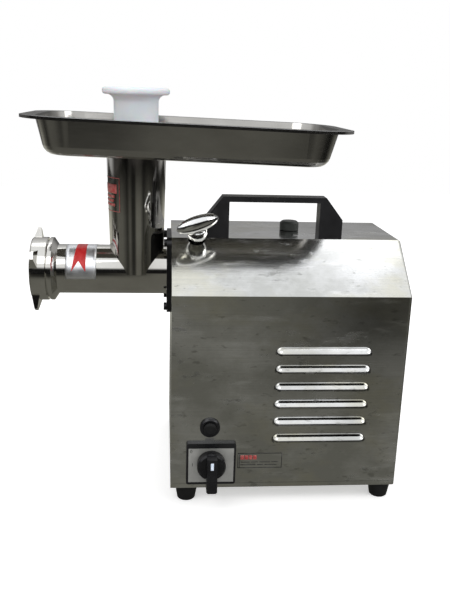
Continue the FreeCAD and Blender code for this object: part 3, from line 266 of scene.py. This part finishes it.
class Shader:
    """A small builder for a principled material with procedural detail."""

    def __init__(self, name, colour, roughness, metallic=0.0, **sockets):
        self.material = bpy.data.materials.new(name)
        self.material.use_nodes = True
        self.tree = self.material.node_tree
        self.new = nodes_of(self.tree)
        self.link = self.tree.links.new
        self.bsdf = self.new("ShaderNodeBsdfPrincipled")
        self.bsdf.inputs["Base Color"].default_value = (*colour, 1)
        self.bsdf.inputs["Roughness"].default_value = roughness
        self.bsdf.inputs["Metallic"].default_value = metallic
        for socket, number in sockets.items():
            self.bsdf.inputs[socket.replace("_", " ").title().replace("Ior", "IOR")].default_value = number
        out = self.new("ShaderNodeOutputMaterial")
        self.link(self.bsdf.outputs[0], out.inputs["Surface"])
        self.place = self.new("ShaderNodeTexCoord").outputs["Object"]

    def noise(self, scale, stretch=(1, 1, 1), detail=3.0, rough=0.55, offset=(0, 0, 0)):
        shift = self.new("ShaderNodeMapping")
        shift.inputs["Scale"].default_value = stretch
        shift.inputs["Location"].default_value = offset
        self.link(self.place, shift.inputs["Vector"])
        node = self.new("ShaderNodeTexNoise")
        node.inputs["Scale"].default_value = scale
        node.inputs["Detail"].default_value = detail
        node.inputs["Roughness"].default_value = rough
        self.link(shift.outputs[0], node.inputs["Vector"])
        return node.outputs["Fac"]

    def height(self):
        split = self.new("ShaderNodeSeparateXYZ")
        self.link(self.place, split.inputs[0])
        return split.outputs["Z"]

    def remap(self, source, low, high, start=0.3, stop=0.7):
        node = self.new("ShaderNodeMapRange")
        node.inputs["From Min"].default_value = start
        node.inputs["From Max"].default_value = stop
        node.inputs["To Min"].default_value = low
        node.inputs["To Max"].default_value = high
        self.link(source, node.inputs["Value"])
        return node.outputs[0]

    def combine(self, first, second, operation="ADD"):
        node = self.new("ShaderNodeMath")
        node.operation = operation
        for index, item in enumerate((first, second)):
            if isinstance(item, (int, float)):
                node.inputs[index].default_value = item
            else:
                self.link(item, node.inputs[index])
        return node.outputs[0]

    def tint(self, source, low, high, start=0.3, stop=0.7):
        node = ramp(self.new, [(start, low), (stop, high)])
        self.link(source, node.inputs[0])
        self.link(node.outputs["Color"], self.bsdf.inputs["Base Color"])
        return self

    def mix(self, mask, first, second):
        node = self.new("ShaderNodeMix")
        node.data_type = "RGBA"
        self.link(mask, node.inputs["Factor"])
        for socket, item in ((node.inputs[6], first), (node.inputs[7], second)):
            if isinstance(item, tuple):
                socket.default_value = (*item, 1)
            else:
                self.link(item, socket)
        return node.outputs[2]

    def roughen(self, source):
        self.link(source, self.bsdf.inputs["Roughness"])
        return self

    def bump(self, source, strength, distance=0.0005):
        node = self.new("ShaderNodeBump")
        node.inputs["Strength"].default_value = strength
        node.inputs["Distance"].default_value = distance
        self.link(source, node.inputs["Height"])
        self.link(node.outputs[0], self.bsdf.inputs["Normal"])
        return self


def brushed_sheet():
    """Stainless sheet, ground along its length, with small dark marks and pale smears from handling."""
    s = Shader("brushed_sheet", (0.62, 0.61, 0.58), 0.14, 1.0)
    grain = s.noise(900, (0.012, 0.6, 1.0), 4, 0.7)
    fine = s.noise(2600, (0.01, 0.7, 1.0), 2, 0.6)
    stains = s.noise(9, (1, 1, 1.3), 6, 0.62)
    spots = s.noise(48, (0.55, 1, 1.5), 5, 0.62, (0.3, 0.1, 0.2))
    smears = s.noise(26, (0.35, 1, 1.6), 5, 0.6, (3, 1, 2))
    tints = s.noise(17, (0.6, 1, 0.9), 5, 0.6, (5, 2, 7))
    specks = s.noise(120, (0.5, 1, 1.2), 4, 0.6, (2, 8, 3))
    handled = s.remap(s.height(), 1.0, 0.3, SLOPE_FOOT - 10 * MM, SLOPE_FOOT + 5 * MM)
    cloudy = s.mix(s.remap(stains, 0, 1, 0.40, 0.60), (0.76, 0.76, 0.76), (0.52, 0.52, 0.50))
    tinted = s.mix(s.remap(tints, 0, 0.7, 0.50, 0.66), cloudy, (0.62, 0.60, 0.50))
    streaked = s.mix(s.remap(grain, 0, 0.32, 0.38, 0.68), tinted, (0.46, 0.46, 0.45))
    scuffed = s.mix(s.remap(smears, 0, 0.5, 0.58, 0.70), streaked, (0.90, 0.90, 0.90))
    speckled = s.mix(s.remap(specks, 0, 0.5, 0.62, 0.70), scuffed, (0.24, 0.24, 0.22))
    marked = s.mix(s.combine(s.remap(spots, 0, 0.6, 0.63, 0.70), handled, "MULTIPLY"), speckled,
                   (0.22, 0.22, 0.20))
    s.link(marked, s.bsdf.inputs["Base Color"])
    s.roughen(s.combine(s.remap(grain, 0.09, 0.17), s.combine(s.remap(smears, 0.0, 0.14, 0.55, 0.7),
                                                             s.remap(spots, 0.0, 0.25, 0.60, 0.70))))
    s.bump(s.combine(grain, fine), 0.05, 0.0002)
    return s.material


def polished_steel():
    s = Shader("polished_steel", (0.60, 0.59, 0.56), 0.08, 1.0)
    turn = s.noise(700, (0.05, 1, 0.05), 3)
    blotch = s.noise(14, (1, 1, 1), 5, 0.6)
    s.link(s.mix(s.remap(blotch, 0, 1, 0.35, 0.7), (0.64, 0.63, 0.60), (0.50, 0.48, 0.45)),
           s.bsdf.inputs["Base Color"])
    s.roughen(s.combine(s.remap(turn, 0.04, 0.08), s.remap(blotch, 0.0, 0.04)))
    s.bump(turn, 0.02, 0.0002)
    return s.material


def tray_steel():
    s = Shader("tray_steel", (0.52, 0.51, 0.48), 0.14, 1.0)
    drawn = s.noise(500, (0.08, 0.3, 1), 3)
    blotch = s.noise(11, (1, 1, 2), 5, 0.6)
    s.link(s.mix(s.remap(blotch, 0, 1, 0.35, 0.7), (0.43, 0.42, 0.40), (0.33, 0.32, 0.30)),
           s.bsdf.inputs["Base Color"])
    s.roughen(s.combine(s.remap(drawn, 0.10, 0.16), s.remap(blotch, 0.0, 0.06)))
    s.bump(drawn, 0.03, 0.0002)
    return s.material


def chrome():
    s = Shader("chrome_plate", (0.80, 0.80, 0.80), 0.06, 1.0)
    s.tint(s.noise(40, detail=4), (0.70, 0.70, 0.70), (0.84, 0.84, 0.84))
    s.roughen(s.remap(s.noise(60, detail=4), 0.04, 0.10))
    return s.material


def plain_metal(name, colour, low, high, scale=160):
    s = Shader(name, colour, (low + high) / 2, 1.0)
    grain = s.noise(scale, detail=4)
    s.roughen(s.remap(grain, low, high))
    s.tint(s.noise(30, detail=5), tuple(c * 0.82 for c in colour), colour)
    s.bump(grain, 0.08, 0.0002)
    return s.material


def moulded(name, colour, low, high, grain_scale=900, bump=0.12, shine=0.5):
    s = Shader(name, colour, (low + high) / 2, 0.0, specular_ior_level=shine)
    grain = s.noise(grain_scale, detail=3)
    dust = s.noise(35, detail=5)
    s.tint(dust, colour, tuple(min(1, c * 1.5 + 0.003) for c in colour))
    s.roughen(s.remap(dust, low, high))
    s.bump(grain, bump, 0.0002)
    return s.material


def pusher_plastic():
    s = Shader("pusher_plastic", (0.80, 0.85, 0.92), 0.35, 0.0, subsurface_weight=0.3, subsurface_scale=0.015)
    cloud = s.noise(24, detail=4)
    s.tint(cloud, (0.76, 0.81, 0.87), (0.86, 0.90, 0.94))
    s.roughen(s.remap(cloud, 0.30, 0.45))
    s.bump(s.noise(300, detail=2), 0.05, 0.0002)
    return s.material


def printed(name, colour, worn, rough=0.4):
    """Ink or film that is worn thin in places."""
    s = Shader(name, colour, rough, 0.0)
    s.tint(s.noise(220, detail=5), colour, worn, 0.42, 0.68)
    s.roughen(s.remap(s.noise(60, detail=4), rough - 0.1, rough + 0.1))
    return s.material


def foil():
    s = Shader("label_foil", (0.86, 0.87, 0.89), 0.3, 1.0)
    creases_and_shade = s.noise(60, (1, 1, 1), 3)
    # Painted shade: the foil's colour is darker in the dips of its creases. The same noise also bumps and
    # roughens it.
    s.tint(creases_and_shade, (0.78, 0.79, 0.82), (0.92, 0.93, 0.95))
    s.roughen(s.remap(creases_and_shade, 0.26, 0.42))
    s.bump(creases_and_shade, 0.25, 0.0004)
    return s.material


def make_materials():
    return {
        "mirror_steel": polished_steel(),
        "tray_steel": tray_steel(),
        "brushed_sheet": brushed_sheet(),
        "chrome": chrome(),
        "black_plastic": moulded("black_plastic", (0.005, 0.005, 0.006), 0.22, 0.36, shine=0.35),
        "handle_black": moulded("handle_black", (0.008, 0.008, 0.009), 0.25, 0.4, shine=0.45),
        "black_rubber": moulded("black_rubber", (0.005, 0.005, 0.005), 0.5, 0.7, 500, 0.2, 0.2),
        # Near-black metal for the head socket and its bolts: painted shade that stands in for the dark gap
        # between barrel and housing.
        "gap_shade_metal": plain_metal("gap_shade_metal", (0.045, 0.045, 0.047), 0.35, 0.5),
        "label_foil": foil(),
        "label_red": printed("label_red", (0.50, 0.008, 0.010), (0.60, 0.03, 0.03)),
        "print_red": printed("print_red", (0.30, 0.03, 0.03), (0.36, 0.12, 0.10)),
        "print_dark": printed("print_dark", (0.010, 0.010, 0.010), (0.03, 0.03, 0.028)),
        "print_pale": printed("print_pale", (0.62, 0.70, 0.82), (0.72, 0.78, 0.88)),
        "oil_cap_rubber": moulded("oil_cap_rubber", (0.032, 0.036, 0.032), 0.4, 0.6, 500, 0.2),
        "grey_label": moulded("grey_label", (0.17, 0.17, 0.16), 0.35, 0.5, 1500, 0.05),
        "white_plastic": pusher_plastic(),
        "white_fibre": moulded("white_fibre", (0.6, 0.6, 0.56), 0.4, 0.55),
        "zinc_steel": plain_metal("zinc_steel", (0.52, 0.52, 0.50), 0.25, 0.42),
        "tool_steel": plain_metal("tool_steel", (0.42, 0.42, 0.43), 0.22, 0.38),
        "bearing_steel": plain_metal("bearing_steel", (0.58, 0.58, 0.6), 0.1, 0.2),
        "cast_aluminium": plain_metal("cast_aluminium", (0.45, 0.45, 0.44), 0.4, 0.6),
        "lamination": plain_metal("lamination", (0.13, 0.13, 0.14), 0.4, 0.6, 400),
        "copper": plain_metal("copper", (0.60, 0.25, 0.12), 0.3, 0.45),
        "brass": plain_metal("brass", (0.66, 0.48, 0.2), 0.25, 0.4),
    }


# ---- CAD nodes -----------------------------------------------------------------------------------

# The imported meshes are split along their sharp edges, where a bevel finds nothing to cut. Only these two
# nodes still have joined edges that it reaches, and it leaves their volume as it was.
BEVELS = {"housing_wrap": 1.2, "reset_button": 0.6}


def dress_nodes(materials):
    """Gives every CAD node its material. The wing also gets modifiers that make it fuller than the CAD."""
    slots = {item["node"]: item["material_slot"] for item in frame["record"]["subparts"]}
    # The head socket and its bolts get the near-black metal as painted shade of the gap they sit in.
    special = {"oil_filler_cap": "oil_cap_rubber", "tray": "tray_steel", "carry_handle": "handle_black",
               "head_socket": "gap_shade_metal", "socket_bolts": "gap_shade_metal"}
    for name, obj in frame["nodes"].items():
        material = materials[special.get(name, slots[name])]
        obj.data.materials.clear()
        obj.data.materials.append(material)
        width = BEVELS.get(name)
        if width:
            bevel = obj.modifiers.new("edge", "BEVEL")
            bevel.width = width * MM
            bevel.segments = 3
            bevel.limit_method = "ANGLE"
            bevel.angle_limit = math.radians(34)
            bevel.harden_normals = False
            bevel.use_clamp_overlap = True
    fatten(frame["nodes"]["wing_knob"])


def fatten(obj):
    """Rounds the cast wing and adds about 2 mm a side: it is shown larger than its CAD solid."""
    skin = obj.modifiers.new("flesh", "SOLIDIFY")
    skin.thickness = 2.6 * MM
    skin.offset = 1
    merge = obj.modifiers.new("merge", "REMESH")
    merge.mode = "VOXEL"
    merge.voxel_size = 0.8 * MM
    smooth = obj.modifiers.new("smooth", "SMOOTH")
    smooth.factor = 0.6
    smooth.iterations = 14


# ---- pieces --------------------------------------------------------------------------------------

def add_piece(name, mesh, material, body):
    piece = bpy.data.objects.new(name, mesh)
    bpy.context.collection.objects.link(piece)
    mesh.materials.append(material)
    for polygon in mesh.polygons:
        polygon.use_smooth = True
    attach(piece, body)
    return piece


def film(name, point, columns, rows, material, body, thick=THIN):
    """A thin film laid over a surface: point gives the place for u and v from 0 to 1."""
    spots = [point(column / columns, row / rows) for row in range(rows + 1) for column in range(columns + 1)]
    faces = []
    for row in range(rows):
        for column in range(columns):
            first = row * (columns + 1) + column
            faces.append((first, first + columns + 1, first + columns + 2, first + 1))
    mesh = bpy.data.meshes.new(name)
    mesh.from_pydata(spots, [], faces)
    piece = add_piece(name, mesh, material, body)
    skin = piece.modifiers.new("film", "SOLIDIFY")
    skin.thickness = thick
    skin.offset = 0
    return piece


def on_barrel(x, rise, lift):
    """A point on the barrel: x along it, rise in degrees from the front upwards, lift off its surface."""
    radius = BARREL_RADIUS + lift
    angle = math.radians(rise)
    return Vector((x, HEAD_AXIS.y - radius * math.cos(angle), HEAD_AXIS.z + radius * math.sin(angle)))


def on_neck(bearing, height, lift):
    """A point on the neck: bearing in degrees from the front to the right, height above the head's axis."""
    radius = NECK_LOW + (NECK_HIGH - NECK_LOW) * height / NECK_LENGTH + lift
    angle = math.radians(bearing)
    return Vector((NECK_X + radius * math.sin(angle), HEAD_AXIS.y - radius * math.cos(angle),
                   HEAD_AXIS.z + height))


def on_panel(x, z, lift):
    """A point on the housing's front: x from its left face, z from its bottom."""
    return Vector((HOUSING_CORNER.x + x, HOUSING_FRONT - lift, HOUSING_CORNER.z + z))


def between(low, high, share):
    return low + (high - low) * share


def make_foil_label(materials):
    """A foil label round the barrel, with a plain red ribbon on it."""
    centre = HOUSING_CORNER.x - 121 * MM
    left, right = centre - 20.4 * MM, centre + 20.5 * MM
    film("barrel_foil", lambda u, v: on_barrel(between(left, right, u), between(110, -11, v), FILM_LIFT),
         8, 32, materials["label_foil"], "head")

    def ribbon(u, v):
        left_edge, right_edge = between(-5.5, -12.5, v ** 1.6) * MM, between(7.5, 6.5, v) * MM
        tail = between(6, 31, 1 - abs(2 * u - 1))
        return on_barrel(centre + between(left_edge, right_edge, u), between(106, tail, v), 1.6 * FILM_LIFT)

    film("barrel_ribbon", ribbon, 16, 24, materials["label_red"], "head")


def neck_patch(name, low, high, start, stop, columns, material):
    """A printed patch on the neck, between two heights in millimetres and two bearings in degrees."""
    def point(u, v):
        return on_neck(between(start, stop, u), between(low, high, v) * MM, FILM_LIFT)

    film(name, point, columns, 2, material, "head")


def make_neck_sticker(materials):
    """Plain printed bars on the left of the neck, with a thin border round them."""
    red = materials["print_red"]
    bars = [(108, 120, -86, -40), (102, 105.5, -86, -47), (96.5, 100, -86, -50), (91, 94.5, -86, -46)]
    for index, bar in enumerate(bars):
        neck_patch("neck_bar_%d" % index, *bar, 12, red)
    bottom, top, line = 84, 128, 0.7
    borders = [(top, top + line, -88, -33), (bottom, bottom + line, -88, -33), (bottom, top, -34, -33)]
    for index, border in enumerate(borders):
        neck_patch("neck_border_%d" % index, *border, 16, red)


def flat_mark(name, x, z, width, height, material):
    """A printed rectangle on the housing's front, in millimetres from its lower left corner."""
    def point(u, v):
        return on_panel((x + width * u) * MM, (z + height * v) * MM, THIN)

    film(name, point, 2, 2, material, "root")


def make_notice(materials):
    """A printed notice beside the switch: a border, a red block and thin rules, with no words."""
    x, z, width, height, line = 87.8, 27.9, 57.9, 20.8, 0.9
    dark = materials["print_dark"]
    borders = {"low": (x, z, width, line), "high": (x, z + height, width, line), "left": (x, z, line, height),
               "right": (x + width, z, line, height), "inner": (x + 2, z, line, height)}
    for name, border in borders.items():
        flat_mark("notice_%s" % name, *border, dark)
    block_step, block_width, block_height = 5.6, 4.7, 6.2
    for index in range(4):
        flat_mark("notice_block_%d" % index, x + 3.6 + block_step * index, z + 12.4, block_width, block_height,
                  materials["print_red"])
    rules = {"rule": (8.2, ((4, 12), (18, 9), (29, 14), (45, 9))), "foot": (4.4, ((4, 20), (26, 8), (36, 16)))}
    for name, (up, strokes) in rules.items():
        for index, (start, length) in enumerate(strokes):
            flat_mark("notice_%s_%d" % (name, index), x + start, z + up, length, line, dark)


def make_dial_marks(materials):
    """The figures 0 and 1 on the switch's plate, and the pointer on its knob."""
    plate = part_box("switch_face")
    for figure, right, down in (("0", 3.4, 4.0), ("1", 5.2, 23.0)):
        words = bpy.data.curves.new("dial_%s" % figure, "FONT")
        words.body = figure
        words.size = 6.5 * MM
        words.extrude = THIN / 2
        words.align_x = "CENTER"
        words.align_y = "CENTER"
        mark = bpy.data.objects.new("dial_%s" % figure, words)
        bpy.context.collection.objects.link(mark)
        mark.location = (plate[0][0] + right * MM, plate[0][1] - THIN / 2, plate[1][2] - down * MM)
        mark.rotation_euler = (math.pi / 2, 0, 0)
        words.materials.append(materials["print_dark"])
        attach(mark, "root")
    axis = Vector((middle("switch_face").x, 0, HOUSING_CORNER.z + KNOB_HEIGHT))
    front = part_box("switch_knob")[0][1]
    mark_low, mark_high, half = 3.5 * MM, 13.5 * MM, 1.9 * MM

    def pointer(u, v):
        return Vector((axis.x + between(-half, half, u), front - THINNEST / 2,
                       axis.z + between(mark_low, mark_high, v)))

    film("dial_pointer", pointer, 2, 4, materials["print_pale"], "selector", THINNEST)


def tray_place(x, y, z):
    """A point of the tray's own frame, from the middle of its rim's top, in metres."""
    tilt = math.radians(TRAY_TILT)
    low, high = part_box("tray")
    centre = Vector(((low[0] + high[0]) / 2, (low[1] + high[1]) / 2, 0))
    rim_top = high[2] - TRAY_HALF_LENGTH * math.sin(tilt)
    return Vector((centre.x + x * math.cos(tilt) + z * math.sin(tilt), centre.y + y,
                   rim_top - x * math.sin(tilt) + z * math.cos(tilt)))


def rounded_path(half_length, half_width, corner, steps):
    """Points round a rectangle with round corners, with the outward direction at each."""
    points = []
    for index, (a, b) in enumerate(((1, -1), (1, 1), (-1, 1), (-1, -1))):
        for step in range(steps + 1):
            angle = math.pi / 2 * (index - 1 + step / steps)
            out = Vector((math.cos(angle), math.sin(angle), 0))
            spot = Vector((a * (half_length - corner), b * (half_width - corner), 0)) + out * corner
            points.append((spot, out))
    return points


def make_tray_bead(materials):
    """The rolled edge round the tray's rim."""
    radius, sides = 1.9 * MM, 10
    path = rounded_path(TRAY_HALF_LENGTH - radius, TRAY_HALF_WIDTH - radius, TRAY_CORNER - radius, 14)
    spots, faces = [], []
    for spot, out in path:
        for side in range(sides):
            angle = 2 * math.pi * side / sides
            point = spot + out * radius * math.cos(angle)
            spots.append(tray_place(point.x, point.y, radius * math.sin(angle) - radius + 0.2 * MM))
    count = len(path)
    for index in range(count):
        for side in range(sides):
            here, there = index * sides, (index + 1) % count * sides
            turn = (side + 1) % sides
            faces.append((here + side, there + side, there + turn, here + turn))
    mesh = bpy.data.meshes.new("tray_bead")
    mesh.from_pydata(spots, [], faces)
    add_piece("tray_bead", mesh, materials["chrome"], "feed_tray")


make_camera()
make_world()
make_floor()
make_lights()
materials = make_materials()
dress_nodes(materials)
make_foil_label(materials)
make_neck_sticker(materials)
make_notice(materials)
make_dial_marks(materials)
make_tray_bead(materials)
bpy.context.scene.view_settings.view_transform = "Standard"
